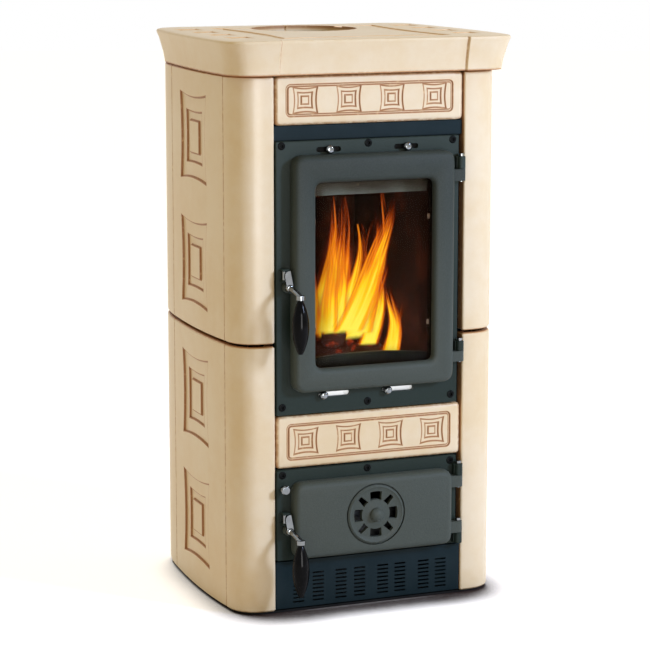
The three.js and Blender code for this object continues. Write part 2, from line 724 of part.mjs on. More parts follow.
function airDisc() {
  const profile = [
    [0, 0], [DISC.radius, 0], [DISC.radius, 3.5], [DISC.radius - 3, 5.5], [DISC.radius - 7, 3.4],
    [DISC.hub + 5, 3.4], [DISC.dome, 6], [DISC.dome, 9], [DISC.dome - 3, 13], [0, 16],
  ];
  const disc = turnedY(profile, DISC.x, DISC.z, DOOR_FACE_Y + 4, 30);
  const spindle = rodY(DISC.x, DISC.z, [-210, -195], 3, 16);
  return cut(disc, airPorts([-225, -200])).add(spindle);
}

// ---------------------------------------------------------------------------
// Firebox, ash compartment and the riddling gear
// ---------------------------------------------------------------------------

function fireboxShell() {
  const { half, y, z, wall } = FIREBOX;
  const outer = block([-half, half], y, z);
  const inner = block(
    [-half + wall, half - wall],
    [y[0] + wall, y[1] - wall],
    [z[0] + wall, z[1] - wall],
  );
  const door = block([-116, 116], [y[0] - 1, y[0] + 10], [374, 710]);
  const floor = block([-74, 74], [-109, 59], [z[0] - 1, z[0] + 10]);
  const flue = rodZ(FLUE.x, FLUE.y, [z[1] - 10, z[1] + 1], FLUE.bore, 32);
  return cut(outer, [inner, door, floor, flue]);
}

function flueCollar() {
  const flange = rodZ(FLUE.x, FLUE.y, [822.4, 829], 86, 32);
  const spigot = rodZ(FLUE.x, FLUE.y, [825, FLUE.top], FLUE.spigotRadius, 32);
  const bore = rodZ(FLUE.x, FLUE.y, [820, FLUE.top + 1], FLUE.bore, 32);
  return flange.add(spigot).subtract(bore);
}

function ashBox() {
  const { half, y, z, wall } = ASH_BOX;
  const outer = block([-half, half], y, z);
  const inner = block([-half + wall, half - wall], [y[0] + wall, y[1] - wall], [z[0] + wall, 340]);
  const mouth = block([-113, 113], [y[0] - 1, y[0] + 10], [z[0] + wall, 203]);
  const armSlot = block([-half - 1, -half + wall + 1], [-60, 10], [312, 340]);
  return cut(outer, [inner, mouth, armSlot]);
}

function ashPan() {
  const pan = block([-107, 107], [-164, 108], [100.4, 148]);
  const inside = block([-105.5, 105.5], [-162.5, 106.5], [102, 150]);
  const pull = prismZ(rounded([-30, 30], [-167, -160], 3), [136, 140]);
  return pan.subtract(inside).add(pull.subtract(inside));
}

function sideBrick(side) {
  const near = FIREBOX.half - FIREBOX.wall - GAP;
  const x = side > 0 ? [near - BRICK, near] : [-near, -near + BRICK];
  return prismZ(rectangle(x, [-158, 145]), [334.4, BRICK_TOP], 2);
}

function backBrick() {
  return prismZ(rectangle([-110, 110], [145.4, 170.4]), [334.4, BRICK_TOP], 2);
}

function baffle() {
  return prismZ(rectangle([-135, 135], [-45, 170]), [BRICK_TOP + GAP, BRICK_TOP + 21], 2);
}

// bent cast plate behind the top of the window that washes the glass with air
function airDeflector() {
  const bend = new THREE.Shape();
  bend.moveTo(-165.6, 708);
  bend.lineTo(-160, 708);
  bend.lineTo(-150, 655);
  bend.lineTo(-154, 655);
  bend.closePath();
  return prismX(bend, [-110, 110]);
}

function logGuard() {
  const guard = new THREE.Shape();
  guard.moveTo(-110, 334.4);
  guard.lineTo(110, 334.4);
  guard.lineTo(110, 396);
  guard.quadraticCurveTo(0, 410, -110, 396);
  guard.closePath();
  const slots = [-72, -36, 0, 36, 72].map((x) => block([x - 5, x + 5], [-160, -146], [348, 386]));
  return cut(prismY(guard, [-157, -149]), slots);
}

function grateSlots(x, y, z, pitch, width) {
  const count = Math.floor((y[1] - y[0]) / pitch);
  const slots = [];
  for (let i = 0; i < count; i += 1) {
    const low = y[0] + (i + 0.5) * pitch - width / 2;
    slots.push(block([x[0], -4], [low, low + width], z));
    slots.push(block([4, x[1]], [low, low + width], z));
  }
  return wasm.Manifold.compose(slots);
}

function grate() {
  const shape = rounded([-GRATE.half, GRATE.half], GRATE.y, 8);
  const plate = prismZ(shape, [334.4, GRATE.top], 2);
  return plate.subtract(grateSlots([-68, 68], [-108, 58], [330, 350], 15, 6.5));
}

// a split-free round of firewood, lying level with one flat down
function fireLog([x1, y1], [x2, y2], bottom, radius) {
  const length = Math.hypot(x2 - x1, y2 - y1);
  const profile = [
    [0, -length / 2], [radius - 4, -length / 2], [radius, -length / 2 + 5],
    [radius, length / 2 - 5], [radius - 4, length / 2], [0, length / 2],
  ].map(([across, along]) => new THREE.Vector2(across, along));
  const geometry = new THREE.LatheGeometry(profile, 12);
  geometry.rotateY(Math.PI / 12);
  geometry.rotateZ(Math.atan2(y2 - y1, x2 - x1) - Math.PI / 2);
  const middle = bottom + radius * Math.cos(Math.PI / 12);
  return toSolid(geometry.translate((x1 + x2) / 2, (y1 + y2) / 2, middle));
}

function riddlingPlate() {
  const plate = block([-66, 70], [-98, 42], [319, 325]);
  const pad = block([-70, -66], [-30, -10], [319, 325]);
  return plate.add(pad).subtract(grateSlots([-58, 62], [-93, 42], [310, 330], 15, 6.5));
}

function riddlingRod() {
  const rod = rodY(ROD.x, ROD.z, [-201, ROD.armY + 4], ROD.radius, 12);
  const knob = turnedY([
    [0, 0], [5, 0], [7.5, 1.5], [7.5, 5], [6, 7], [0, 7.6],
  ], ROD.x, ROD.z, -199, 16);
  const arm = block([ROD.x - 3, ROD.x + 3], [ROD.armY - 4, ROD.armY + 4], [199, 325]);
  const bar = block([ROD.x, -70.4], [ROD.armY - 4, ROD.armY + 4], [319, 325]);
  return union([rod, knob, arm, bar]);
}

// ---------------------------------------------------------------------------
// Assembly
// ---------------------------------------------------------------------------

const stove = new THREE.Group();

function place(name, solid, material) {
  const mesh = new THREE.Mesh(toGeometry(solid), material);
  mesh.name = name;
  stove.add(mesh);
}

const SIDES = [['left', -1], ['right', 1]];
const TIERS = [['lower', LOWER_TILE_Z], ['upper', UPPER_TILE_Z]];

for (const [tier, z] of TIERS) {
  for (const [name, side] of SIDES) {
    place(`column_tile_${name}_${tier}`, prismZ(columnShape(side), z, TILE_EDGE), CREAM_GLAZE);
    const relief = SIDE_MOTIF_Z[tier];
    place(`side_tile_${name}_${tier}`, sideTile(side, z, relief), CREAM_GLAZE);
    place(`rear_tile_${name}_${tier}`, prismZ(rearShape(side), z, TILE_EDGE, 5), CREAM_GLAZE);
  }
}
place('front_tile_upper', frontTile(UPPER_FRONT_TILE_Z), CREAM_GLAZE);
place('front_tile_lower', frontTile(LOWER_FRONT_TILE_Z), CREAM_GLAZE);
place('ceramic_top', ceramicTop(), CREAM_GLAZE);

place('base_tray', baseTray(), BLACK_STEEL);
place('front_sheet', frontSheet(), BLUE_BLACK_PAINT);
place('front_strip', frontStrip(), BLUE_BLACK_PAINT);
place('louvre_panel', louvrePanel(), BLUE_BLACK_PAINT);
place('side_sheet_left', sideSheet(-1), BLACK_STEEL);
place('side_sheet_right', sideSheet(1), BLACK_STEEL);
place('back_panel', backPanel(), BLACK_STEEL);
place('top_sheet', topSheet(), BLACK_STEEL);

place('firebox_shell', fireboxShell(), BLACK_STEEL);
place('flue_collar', flueCollar(), CAST_IRON);
place('ash_box', ashBox(), BLACK_STEEL);
place('ash_pan', ashPan(), GALVANISED);
place('fire_brick_left', sideBrick(-1), FIREBRICK);
place('fire_brick_right', sideBrick(1), FIREBRICK);
place('fire_brick_back', backBrick(), FIREBRICK);
place('baffle_plate', baffle(), FIREBRICK);
place('air_deflector', airDeflector(), CAST_IRON);
place('log_guard', logGuard(), CAST_IRON);
place('grate', grate(), CAST_IRON);
place('fire_log_front', fireLog([-94, -86], [66, -78], LOG.bed, LOG.radius), CHARRED_WOOD);
place('fire_log_rear', fireLog([-84, 22], [90, 14], LOG.bed, LOG.radius), CHARRED_WOOD);
place('fire_log_top', fireLog([-34, -112], [44, 48], LOG.top, LOG.topRadius), CHARRED_WOOD);

place('fire_door_frame', upperFrame(), CAST_IRON);
place('ash_door_frame', lowerFrame(), CAST_IRON);
place('fire_hinge_pin_upper', hingePin([672, 713]), CHROME);
place('fire_hinge_pin_lower', hingePin([384, 419]), CHROME);
place('ash_hinge_pin_upper', hingePin([179, 219]), CHROME);
place('ash_hinge_pin_lower', hingePin([87, 125]), CHROME);
place('fire_catch_roller', catchRoller(0), CHROME);
place('ash_catch_roller', catchRoller(LATCH_DROP), CHROME);

place('fire_door_casting', fireDoor(), CAST_IRON);
place('fire_door_glass', doorGlass(), GLASS);
place('fire_door_glass_retainer', glassRetainer(), BLACK_STEEL);
place('fire_door_rope', fireDoorRope(), ROPE);
place('fire_handle_lever', handleLever(0), CHROME);
place('fire_handle_grip', handleGrip(0), BLACK_GRIP);

place('ash_door_casting', ashDoor(), CAST_IRON);
place('ash_door_rope', ashDoorRope(), ROPE);
place('ash_handle_lever', handleLever(LATCH_DROP), CHROME);
place('ash_handle_grip', handleGrip(LATCH_DROP), BLACK_GRIP);
place('air_disc', airDisc(), CAST_IRON);

place('upper_air_slide', airSlide(UPPER_AIR, [-110, 98]), GALVANISED);
place('lower_air_slide', airSlide(LOWER_AIR, [-122, 76]), GALVANISED);
place('riddling_rod', riddlingRod(), CHROME);
place('riddling_plate', riddlingPlate(), CAST_IRON);

export default stove;
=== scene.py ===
"""A tiled wood stove: cream glazed tiles, a steel body, cast doors and a lit fire."""

import json
import random
from math import atan2, cos, pi, radians, sin

import bmesh
import bpy
from mathutils import Matrix, Vector, noise

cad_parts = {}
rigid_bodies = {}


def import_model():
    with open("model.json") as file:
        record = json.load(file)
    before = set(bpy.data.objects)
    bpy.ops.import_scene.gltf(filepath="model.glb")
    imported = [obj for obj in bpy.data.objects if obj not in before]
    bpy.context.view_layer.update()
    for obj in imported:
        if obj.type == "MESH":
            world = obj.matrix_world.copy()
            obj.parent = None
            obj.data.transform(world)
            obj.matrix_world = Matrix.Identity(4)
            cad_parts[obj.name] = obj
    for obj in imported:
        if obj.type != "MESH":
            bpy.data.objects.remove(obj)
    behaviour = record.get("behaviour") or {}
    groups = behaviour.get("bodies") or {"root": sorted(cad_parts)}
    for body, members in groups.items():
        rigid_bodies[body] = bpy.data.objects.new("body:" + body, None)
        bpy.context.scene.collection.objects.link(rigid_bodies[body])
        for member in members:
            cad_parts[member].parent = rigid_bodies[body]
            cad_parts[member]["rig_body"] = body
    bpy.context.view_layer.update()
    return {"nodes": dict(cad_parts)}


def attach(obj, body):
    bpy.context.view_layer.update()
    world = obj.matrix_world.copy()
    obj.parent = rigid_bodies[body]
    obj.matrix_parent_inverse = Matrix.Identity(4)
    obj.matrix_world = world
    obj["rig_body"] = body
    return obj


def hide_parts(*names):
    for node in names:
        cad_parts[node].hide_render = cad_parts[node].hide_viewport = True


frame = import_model()
nodes = frame["nodes"]


# The studio: a pale floor that runs into a white room, a softbox at the right of the
# stove, a wide strip of light that shows only as a sheen, and the room's own warm
# light. The camera stands at the left of the front with the long lens of a catalogue.
CAMERA_PLACE = (-1.4449, -3.6226, 1.1138)
CAMERA_TURN = (radians(90 - 10.077), 0, radians(-21.726))
LENS = 133.68
SENSOR_WIDTH = 36
ROOM_LIGHT = 0.52
ROOM_TINT = (1.0, 0.80, 0.47, 1)
WHITE = (1, 1, 1, 1)
# the place, size, watts and colour of each lamp
LAMPS = {
    "softbox": ((1.95, -2.45, 1.68), (0.4, 0.6), 60, (0.82, 1.0, 1.44)),
    "strip": ((-0.35, -2.9, 0.7), (0.9, 1.4), 60, (1.0, 1.0, 1.0)),
}
LAMP_AIM = (0, 0, 0.45)
FLOOR_RADIUS = 14
FLOOR_Z = -0.0005
FLOOR_TINT = (0.88, 0.89, 0.97, 1)
FLOOR_SHADE = (0.055, 0.040, 0.038, 1)
FLOOR_GLOW = 0.75
CONTACT_REACH = 0.09
CONTACT_NORMAL = {0: 0.0, 1: 0.8, 2: 0.6}
CONTACT_OPEN = (0.40, 0.90)


class Wire:
    """One value in a material; arithmetic on it adds the nodes that work it out."""

    def __init__(self, finish, socket):
        self.finish = finish
        self.socket = socket

    def __add__(self, other):
        return self.finish.math("ADD", self, other)

    __radd__ = __add__

    def __sub__(self, other):
        return self.finish.math("SUBTRACT", self, other)

    def __rsub__(self, other):
        return self.finish.math("SUBTRACT", other, self)

    def __mul__(self, other):
        return self.finish.math("MULTIPLY", self, other)

    __rmul__ = __mul__

    def __truediv__(self, other):
        return self.finish.math("DIVIDE", self, other)

    def __abs__(self):
        return self.finish.math("ABSOLUTE", self)

    def beside(self, out):
        """Another output of the node that this one comes from."""
        return Wire(self.finish, self.socket.node.outputs[out])


class Finish:
    """The make-up of one material, or of the room's light."""

    def __init__(self, name, library=bpy.data.materials):
        self.owner = library.new(name)
        self.owner.use_nodes = True
        self.tree = self.owner.node_tree

    def connect(self, node, sockets):
        for key, value in sockets.items():
            if isinstance(value, Wire):
                self.tree.links.new(value.socket, node.inputs[key])
            else:
                node.inputs[key].default_value = value

    def node(self, kind, settings, sockets, out=0):
        """Adds a node: its settings, then the values or wires of its sockets."""
        made = self.tree.nodes.new(kind)
        for key, value in settings.items():
            if key == "stops":
                ramp = made.color_ramp
                while len(ramp.elements) < len(value):
                    ramp.elements.new(0.5)
                for element, (place, colour) in zip(ramp.elements, value):
                    element.position = place
                    element.color = colour
            else:
                setattr(made, key, value)
        self.connect(made, sockets)
        return Wire(self, made.outputs[out])

    def math(self, operation, *values):
        sockets = dict(enumerate(values))
        return self.node("ShaderNodeMath", {"operation": operation}, sockets)

    def most(self, *values):
        """The greatest of several values."""
        first, *rest = values
        for value in rest:
            first = self.math("MAXIMUM", first, value)
        return first

    def place(self):
        return self.node("ShaderNodeTexCoord", {}, {}, "Object")

    def axes(self):
        x = self.node("ShaderNodeSeparateXYZ", {}, {0: self.place()})
        return x, x.beside(1), x.beside(2)

    def rise(self, value, low, high):
        """0 below low, 1 above high and a soft step between; low may be the larger."""
        sockets = {"Value": value, "From Min": low, "From Max": high}
        settings = {"interpolation_type": "SMOOTHSTEP"}
        return self.node("ShaderNodeMapRange", settings, sockets)

    def cloud(self, scale, detail=2, rough=0.5, stretch=(1, 1, 1)):
        """Soft uneven patches, `scale` to the metre, mostly between 0.3 and 0.7."""
        where = self.place()
        if stretch != (1, 1, 1):
            where = self.node(
                "ShaderNodeMapping", {}, {"Vector": where, "Scale": stretch}
            )
        sockets = {
            "Vector": where,
            "Scale": scale,
            "Detail": detail,
            "Roughness": rough,
        }
        return self.node("ShaderNodeTexNoise", {}, sockets, "Fac")

    def ramp(self, value, *stops):
        return self.node("ShaderNodeValToRGB", {"stops": stops}, {"Fac": value})

    def blend(self, share, under, over):
        """The colour `over` laid on `under` where share is 1."""
        settings = {"data_type": "RGBA"}
        return self.node("ShaderNodeMix", settings, {0: share, 6: under, 7: over}, 2)

    def bump(self, height, distance, under=None):
        """A surface raised by `distance` metres where height is 1."""
        sockets = {"Height": height, "Distance": distance}
        if under:
            sockets["Normal"] = under
        return self.node("ShaderNodeBump", {}, sockets, "Normal")

    def shown(self):
        """1 for what the camera sees, also in metal and through glass, 0 for light."""
        rays = self.node("ShaderNodeLightPath", {}, {}, "Is Camera Ray")
        return self.most(
            rays, rays.beside("Is Glossy Ray"), rays.beside("Is Transmission Ray")
        )

    def finished(self, **sockets):
        """Wires the shader and gives the material."""
        named = {key.replace("_", " "): value for key, value in sockets.items()}
        self.connect(self.tree.nodes["Principled BSDF"], named)
        return self.owner


room = Finish("white_room", bpy.data.worlds)
bpy.context.scene.world = room.owner
in_view = room.shown()
room.connect(
    room.tree.nodes["Background"],
    {
        "Color": room.blend(in_view, ROOM_TINT, WHITE),
        "Strength": ROOM_LIGHT + in_view * (1 - ROOM_LIGHT),
    },
)

floor_mesh = bmesh.new()
bmesh.ops.create_circle(floor_mesh, cap_ends=True, segments=96, radius=FLOOR_RADIUS)
bmesh.ops.translate(floor_mesh, verts=floor_mesh.verts, vec=(0, 0, FLOOR_Z))
floor_data = bpy.data.meshes.new("studio_floor")
floor_mesh.to_mesh(floor_data)
floor_mesh.free()
floor = bpy.data.objects.new("studio_floor", floor_data)
bpy.context.scene.collection.objects.link(floor)
# The floor's colour and glow fade to FLOOR_SHADE where the occlusion, leant towards the
# stove's front, meets the stove: a painted contact shadow.
pale = Finish("studio_floor")
leant = pale.node("ShaderNodeCombineXYZ", {}, CONTACT_NORMAL)
reach = {"Distance": CONTACT_REACH, "Normal": leant}
open_air = pale.node("ShaderNodeAmbientOcclusion", {"samples": 16}, reach, "AO")
clear = pale.rise(open_air, *CONTACT_OPEN)
floor_data.materials.append(
    pale.finished(
        Base_Color=pale.blend(clear, FLOOR_SHADE, FLOOR_TINT),
        Roughness=1.0,
        Specular_IOR_Level=0.0,
        Emission_Color=pale.shown() * clear * FLOOR_GLOW,
        Emission_Strength=1.0,
    )
)

for name, (spot, size, power, tint) in LAMPS.items():
    lamp_data = bpy.data.lights.new(name, "AREA")
    lamp_data.shape = "RECTANGLE"
    lamp_data.size, lamp_data.size_y = size
    lamp_data.energy = power
    lamp_data.color = tint
    lamp = bpy.data.objects.new(name, lamp_data)
    lamp.location = spot
    aim = Vector(LAMP_AIM) - lamp.location
    lamp.rotation_euler = aim.to_track_quat("-Z", "Y").to_euler()
    lamp.visible_diffuse = name != "strip"
    bpy.context.scene.collection.objects.link(lamp)

camera_data = bpy.data.cameras.new("camera")
camera_data.lens = LENS
camera_data.sensor_width = SENSOR_WIDTH
camera = bpy.data.objects.new("camera", camera_data)
camera.location = CAMERA_PLACE
camera.rotation_euler = CAMERA_TURN
bpy.context.scene.collection.objects.link(camera)
bpy.context.scene.camera = camera
bpy.context.scene.view_settings.view_transform = "Standard"


# The tile jacket: four tall columns, four bowed side tiles and four rear tiles, pressed
# from red-brown clay, glazed cream and fired. Brown glaze lies in the sunk squares and
# the level joint; the brown under the top and on the columns' inner faces is painted
# shade. The tiles stand on the base plate with narrow joints.
TILE_Z = {"lower": (0.0034, 0.428), "upper": (0.432, 0.845)}
TILE_END_EDGE = (0.0030, 0.0006)
SHADE_UNDER_TOP_Z = (0.8418, 0.8438)
LEVEL_JOINT_Z = 0.430
LEVEL_JOINT_HALF = (0.0040, 0.0024)
COLUMN_SHADED_FACE_X = (0.1598, 0.1592)
COLUMN_JOINT_Y = (-0.1385, -0.1368)
SIDE_TILE_Y = -0.0115
SIDE_TILE_EDGE = (0.1222, 0.1240)
REAR_TILE_Y = 0.1558
REAR_TILE_EDGE = (0.0405, 0.0418)
SIDE_SQUARE = {"half": (0.064, 0.069), "core": (0.023, 0.026), "sag": 0.09}
SIDE_SQUARE_Y = -0.005
SIDE_SQUARE_Z = {"lower": 0.219, "upper": 0.6385}
SIDE_SQUARE_STEP = 0.1
SIDE_LINE_WIDTH = 0.0026
CREAM_THICK = (0.88, 0.75, 0.53, 1)
CREAM_THIN = (0.82, 0.65, 0.39, 1)
AMBER_WASH = (0.80, 0.52, 0.24, 1)
BROWN_GLAZE = (0.33, 0.115, 0.027, 1)
CLAY_EDGE = (0.52, 0.27, 0.10, 1)


def hollow_square(paint, across, along, half, sag):
    """How far a point lies outside a rectangle whose sides bow inwards."""
    one, two = across / half[0], along / half[1]
    aside = abs(across) - half[0] + sag * (1 - two * two)
    ahead = abs(along) - half[1] + sag * (1 - one * one)
    return paint.most(aside, ahead)


def thin_line(paint, distance, width):
    return paint.rise(abs(distance), width, width * 0.3)


def square_lines(paint, across, along, shape, width):
    """The three outlines of one relief square, as lines of brown glaze."""
    half = shape["half"]
    sag = half[0] * shape["sag"]
    inner_half = [0.6 * side for side in half]
    return paint.most(
        *(
            thin_line(paint, hollow_square(paint, across, along, size, bow), width)
            for size, bow in ((half, sag), (inner_half, sag / 3), (shape["core"], 0))
        )
    )


def glaze(name, brown, bare):
    """Cream glaze. brown(paint, x, y, z) is 1 where brown glaze or brown painted shade
    lies, and bare(...) is 1 at the edges, where the glaze has run thin over the clay."""
    paint = Finish(name)
    x, y, z = paint.axes()
    drift = paint.cloud(4.5, 3)
    mottle = paint.cloud(38, 4, 0.62)
    tone = paint.rise(drift * 0.7 + mottle * 0.3, 0.34, 0.66)
    colour = paint.blend(tone, CREAM_THIN, CREAM_THICK)
    fleck = paint.rise(paint.cloud(900, 1), 0.73, 0.80) * 0.3
    colour = paint.blend(fleck, colour, CLAY_EDGE)
    brushed = paint.cloud(120, 3)
    thin = bare(paint, x, y, z) * paint.rise(brushed, 0.25, 0.62)
    colour = paint.blend(thin * 0.7, colour, CLAY_EDGE)
    line = brown(paint, x, y, z)
    colour = paint.blend(paint.rise(line, 0.0, 0.6) * 0.75, colour, AMBER_WASH)
    core = paint.rise(line, 0.4, 0.9) * paint.rise(brushed, 0.08, 0.45)
    colour = paint.blend(core * 0.8, colour, BROWN_GLAZE)
    waves = paint.bump(paint.cloud(22, 2), 0.0007)
    skin = paint.bump(paint.cloud(420, 2), 0.00005, waves)
    return paint.finished(
        Base_Color=colour,
        Roughness=0.38 + 0.10 * mottle + 0.15 * core,
        Specular_IOR_Level=0.32,
        Coat_Weight=0.28,
        Coat_Roughness=0.30,
        Normal=skin,
    )


def keep(made, name, material, body, smooth=40):
    """Makes a finished piece of a bmesh and lets it ride on a body."""
    for face in made.faces:
        face.smooth = True
    for side in made.edges:
        side.smooth = side.calc_face_angle(0) < radians(smooth)
    mesh = bpy.data.meshes.new(name)
    made.to_mesh(mesh)
    made.free()
    mesh.materials.append(material)
    piece = bpy.data.objects.new(name, mesh)
    bpy.context.scene.collection.objects.link(piece)
    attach(piece, body)
    return piece


def fair_copy(node, name, material, smooth=34, edge=0.0009, steps=2):
    """A welded copy of a CAD solid, smooth over its curves, with its edges eased."""
    made = bmesh.new()
    made.from_mesh(nodes[node].data)
    bmesh.ops.remove_doubles(made, verts=made.verts, dist=0.00001)
    bmesh.ops.dissolve_limit(
        made, angle_limit=radians(0.4), verts=made.verts, edges=made.edges
    )
    piece = keep(made, name, material, nodes[node]["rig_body"], smooth)
    ease = piece.modifiers.new("eased_edges", "BEVEL")
    ease.width = edge
    ease.segments = steps
    ease.limit_method = "ANGLE"
    ease.angle_limit = radians(smooth)
    ease.harden_normals = True
    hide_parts(node)
    return piece


def middle_and_half(level):
    return (level[0] + level[1]) / 2, (level[1] - level[0]) / 2


def end_edges(paint, z, level):
    """The fired edges at the foot and head of a tile."""
    middle, half = middle_and_half(level)
    low, high = TILE_END_EDGE
    return paint.rise(abs(z - middle), half - low, half - high)


def joint_glaze_and_top_shade(paint, x, y, z):
    """Brown glaze at the level joint of the tiles, and a brown band painted as the
    shade in the joint under the top.
    """
    # painted shade: a brown band in the gap under the top, where shade falls
    painted_shade_under_top = paint.rise(z, *SHADE_UNDER_TOP_Z)
    between = paint.rise(abs(z - LEVEL_JOINT_Z), *LEVEL_JOINT_HALF)
    return paint.most(painted_shade_under_top, between)


def side_tile_glaze(height):
    level = TILE_Z[height]

    def squares(paint, x, y, z):
        along = abs(z - SIDE_SQUARE_Z[height]) - SIDE_SQUARE_STEP
        across = y - SIDE_SQUARE_Y
        lines = square_lines(paint, across, along, SIDE_SQUARE, SIDE_LINE_WIDTH)
        return paint.most(lines, joint_glaze_and_top_shade(paint, x, y, z))

    def edges(paint, x, y, z):
        upright = paint.rise(abs(y - SIDE_TILE_Y), *SIDE_TILE_EDGE)
        return paint.most(upright, end_edges(paint, z, level))

    return glaze(f"side_tile_glaze_{height}", squares, edges)


def column_glaze(height):
    level = TILE_Z[height]

    def lines(paint, x, y, z):
        # painted shade: the columns' inner faces, in the gap beside the frames, are
        # painted brown
        inner = paint.rise(abs(x), *COLUMN_SHADED_FACE_X)
        return paint.most(inner, joint_glaze_and_top_shade(paint, x, y, z))

    def edges(paint, x, y, z):
        joint = paint.rise(y, *COLUMN_JOINT_Y)
        return paint.most(joint, end_edges(paint, z, level))

    return glaze(f"column_glaze_{height}", lines, edges)


def rear_tile_glaze(height):
    level = TILE_Z[height]

    def edges(paint, x, y, z):
        upright = paint.rise(abs(y - REAR_TILE_Y), *REAR_TILE_EDGE)
        return paint.most(upright, end_edges(paint, z, level))

    return glaze(f"rear_tile_glaze_{height}", joint_glaze_and_top_shade, edges)


for height in TILE_Z:
    jackets = {
        "column": column_glaze(height),
        "side": side_tile_glaze(height),
        "rear": rear_tile_glaze(height),
    }
    for hand in ("left", "right"):
        for kind, coat in jackets.items():
            tile = f"{kind}_tile_{hand}_{height}"
            fair_copy(tile, f"glazed_{tile}", coat)


# The two front tiles: flat pressed tiles with a border groove and four small relief
# squares, glazed like the jacket, with brown glaze left in the groove. Each is held
# between the columns by the sheet behind it.
FRONT_TILE_Z = {"lower": (0.232, 0.316), "upper": (0.769, 0.845)}
FRONT_TILE_HALF = 0.157
SMALL_SQUARE = {"half": (0.020, 0.020), "core": (0.006, 0.006), "sag": 0.12}
SMALL_SQUARE_PITCH = 0.072
SMALL_LINE_WIDTH = 0.0020
FRONT_TILE_RADIUS = 0.008
FRONT_TILE_RIM = (-0.0052, -0.0018)
BORDER_INSET = (0.0192, 0.0152)
BORDER_RADIUS = 0.0056
GROOVE_HALF = 0.0016
GROOVE_LINE_WIDTH = 0.0018


def rounded_frame(paint, across, along, half, other_half, radius):
    """How far a point lies outside a rectangle with round corners."""
    one = abs(across) - (half - radius)
    two = abs(along) - (other_half - radius)
    out_one = paint.most(one, 0)
    out_two = paint.most(two, 0)
    corner = paint.math("SQRT", out_one * out_one + out_two * out_two)
    inside = paint.math("MINIMUM", paint.most(one, two), 0)
    return corner + inside - radius


def front_tile_glaze(height):
    middle, half = middle_and_half(FRONT_TILE_Z[height])

    def lines(paint, x, y, z):
        along = z - middle
        across = abs(abs(x) - SMALL_SQUARE_PITCH) - SMALL_SQUARE_PITCH / 2
        squares = square_lines(paint, across, along, SMALL_SQUARE, SMALL_LINE_WIDTH)
        wide, tall = FRONT_TILE_HALF - BORDER_INSET[0], half - BORDER_INSET[1]
        border = rounded_frame(paint, x, along, wide, tall, BORDER_RADIUS)
        groove = thin_line(paint, abs(border) - GROOVE_HALF, GROOVE_LINE_WIDTH)
        return paint.most(squares, groove)

    def edges(paint, x, y, z):
        along = z - middle
        rim = rounded_frame(paint, x, along, FRONT_TILE_HALF, half, FRONT_TILE_RADIUS)
        return paint.rise(rim, *FRONT_TILE_RIM)

    return glaze(f"front_tile_glaze_{height}", lines, edges)


for height in FRONT_TILE_Z:
    tile = f"front_tile_{height}"
    coat = front_tile_glaze(height)
    fair_copy(tile, f"glazed_{tile}", coat, edge=0.0006)


# The ceramic top: one heavy cast slab with a flared rim, stepped corner blocks, a sunk
# panel line, four relief squares down each side and the round hole for the flue. It is
# glazed all over and lies on the tiles by its own weight.
FLUE_PLACE = (0, 0.098)
FLUE_HOLE_RADIUS = 0.086
FLUE_RIM_WIDTH = 0.0034
TOP_FACE_Z = (0.8905, 0.8975)
TOP_FOOT_SHADE_Z = (0.8486, 0.8468)
TOP_FOOT_EDGE_Z = (0.8500, 0.8470)
TOP_SQUARE_X = 0.190
TOP_SQUARE_Y = 0.0035
TOP_SQUARE_STEPS = (0.081, 0.0405)
TOP_PANEL_Y = -0.008
TOP_PANEL_OUTER = ((0.146, 0.160), 0.011)
TOP_PANEL_INNER = ((0.128, 0.142), 0.010)
PANEL_LINE_WIDTH = 0.0022
CORNER_STEP_X = 0.155
CORNER_STEP_HALF = (0.0018, 0.0004)
CORNER_FACE_Y = (-0.196, -0.204)


def top_lines(paint, x, y, z):
    up = paint.rise(z, *TOP_FACE_Z)
    across = abs(x) - TOP_SQUARE_X
    far_step, near_step = TOP_SQUARE_STEPS
    along = abs(abs(y - TOP_SQUARE_Y) - far_step) - near_step
    sag = SMALL_SQUARE["half"][0] * SMALL_SQUARE["sag"]
    outline = hollow_square(paint, across, along, SMALL_SQUARE["half"], sag)
    squares = thin_line(paint, outline + 0.0008, 0.0020) * 0.5
    back = y - TOP_PANEL_Y
    outer = hollow_square(paint, x, back, *TOP_PANEL_OUTER)
    inner = hollow_square(paint, x, back, *TOP_PANEL_INNER)
    panel = paint.most(
        thin_line(paint, outer, PANEL_LINE_WIDTH),
        thin_line(paint, inner, PANEL_LINE_WIDTH),
    )
    east = x - FLUE_PLACE[0]
    north = y - FLUE_PLACE[1]
    far = paint.math("SQRT", east * east + north * north) - FLUE_HOLE_RADIUS
    rim = thin_line(paint, far, FLUE_RIM_WIDTH) * 0.8
    # painted shade: a brown line at the foot of the top, in the joint above the tiles
    shade = paint.rise(z, *TOP_FOOT_SHADE_Z)
    return paint.most(up * paint.most(squares, panel * 0.4, rim), shade)


def top_edges(paint, x, y, z):
    low = paint.rise(z, *TOP_FOOT_EDGE_Z)
    step = paint.rise(abs(abs(x) - CORNER_STEP_X), *CORNER_STEP_HALF)
    front = paint.rise(y, *CORNER_FACE_Y)
    return paint.most(low, step * front)


top_glaze = glaze("top_glaze", top_lines, top_edges)
fair_copy("ceramic_top", "glazed_top", top_glaze)


